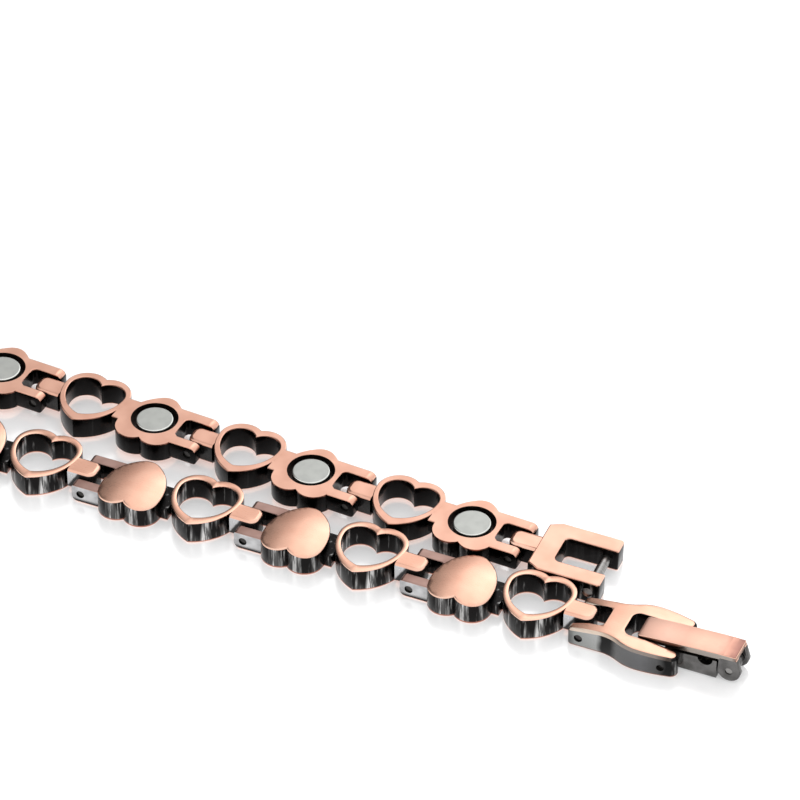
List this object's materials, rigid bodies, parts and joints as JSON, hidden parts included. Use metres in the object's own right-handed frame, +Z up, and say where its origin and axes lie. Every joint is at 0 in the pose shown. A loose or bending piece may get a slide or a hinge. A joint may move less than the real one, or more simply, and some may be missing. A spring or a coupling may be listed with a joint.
{
  "type": "magnetic bracelet",
  "caption": "Unfastened bracelet of hinged copper-coloured heart links with magnet discs in their inner faces and a fold-over clasp, lying as side-by-side strands joined by a standing loop.",
  "frame": {"origin": "middle of the underside of the clasp body's web, between its two slots, on the surface that the bracelet lies on", "axes": "+X along the front strand towards the clasp's free end, +Y across the bracelet towards the back strand, +Z up from the surface; the front strand's inner face is down"},
  "size_m": [0.1055, 0.0144, 0.0205],
  "materials": {
    "copper": "copper plate, brushed faces and polished dark sides",
    "steel": "dark polished steel",
    "magnet": "satin nickel",
    "pin": "dark steel"
  },
  "bodies": {
    "bracelet": {"link_01": "copper", "link_02": "copper", "link_03": "copper", "link_04": "copper", "link_05": "copper", "link_06": "copper", "link_07": "copper", "link_08": "copper", "link_09": "copper", "link_10": "copper", "link_11": "copper", "link_12": "copper", "link_13": "copper", "link_14": "copper", "magnet_01": "magnet", "magnet_02": "magnet", "magnet_03": "magnet", "magnet_04": "magnet", "magnet_05": "magnet", "magnet_06": "magnet", "magnet_07": "magnet", "magnet_08": "magnet", "magnet_09": "magnet", "magnet_10": "magnet", "magnet_11": "magnet", "magnet_12": "magnet", "magnet_13": "magnet", "magnet_14": "magnet", "pin_00": "pin", "pin_01": "pin", "pin_02": "pin", "pin_03": "pin", "pin_04": "pin", "pin_05": "pin", "pin_06": "pin", "pin_07": "pin", "pin_08": "pin", "pin_09": "pin", "pin_10": "pin", "pin_11": "pin", "pin_12": "pin", "pin_13": "pin", "pin_14": "pin", "clasp_body": "copper", "arm_pin": "pin", "catch": "copper", "catch_pin": "steel"},
    "tongue": {"clasp_tongue": "steel"},
    "cover": {"clasp_cover": "copper", "cover_pin": "pin"}
  },
  "joints": [
    {"name": "tongue_hinge", "type": "hinge", "parent": "bracelet", "child": "tongue", "pos_m": [0.00443, 0, 0.00078], "axis": [0, -1, 0], "range_deg": [0, 90]},
    {"name": "cover_hinge", "type": "hinge", "parent": "tongue", "child": "cover", "pos_m": [0.00937, 0, 0.001], "axis": [0, 1, 0], "range_deg": [0, 160]}
  ]
}
